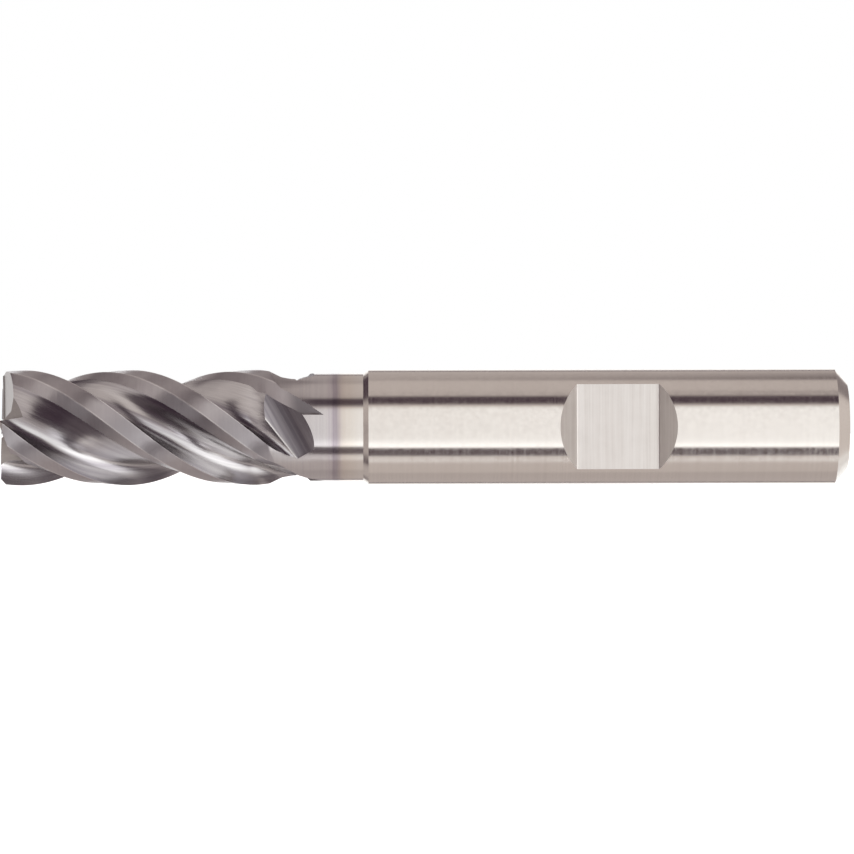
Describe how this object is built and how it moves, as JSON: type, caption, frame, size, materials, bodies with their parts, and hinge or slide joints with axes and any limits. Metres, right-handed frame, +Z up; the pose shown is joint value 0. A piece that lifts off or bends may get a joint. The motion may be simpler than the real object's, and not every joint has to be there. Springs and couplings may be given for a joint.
{
  "type": "end mill",
  "caption": "Necked carbide end mill with helical flutes, corner chamfers and a side-lock flat on its round shank, for milling in a tool holder.",
  "frame": {"origin": "centre of the shank's rear end face, on the tool's axis", "axes": "+X along the tool's axis from the cutting tip to the shank's end; -Y out of the side-lock flat; +Z up, with the tool lying level"},
  "size_m": [0.0734, 0.01, 0.01],
  "materials": {
    "coated_carbide": "ground carbide under a thin grey-violet hard coating, glossy, with grinding lines along the flutes",
    "tinted_carbide": "ground carbide where the coating fades out, with a violet line and a straw-coloured band",
    "bare_carbide": "bright cylindrical grinding with fine circumferential lines, no coating"
  },
  "bodies": {
    "root": {"cutting_head": "coated_carbide", "neck": "tinted_carbide", "shank": "bare_carbide"}
  },
  "joints": []
}
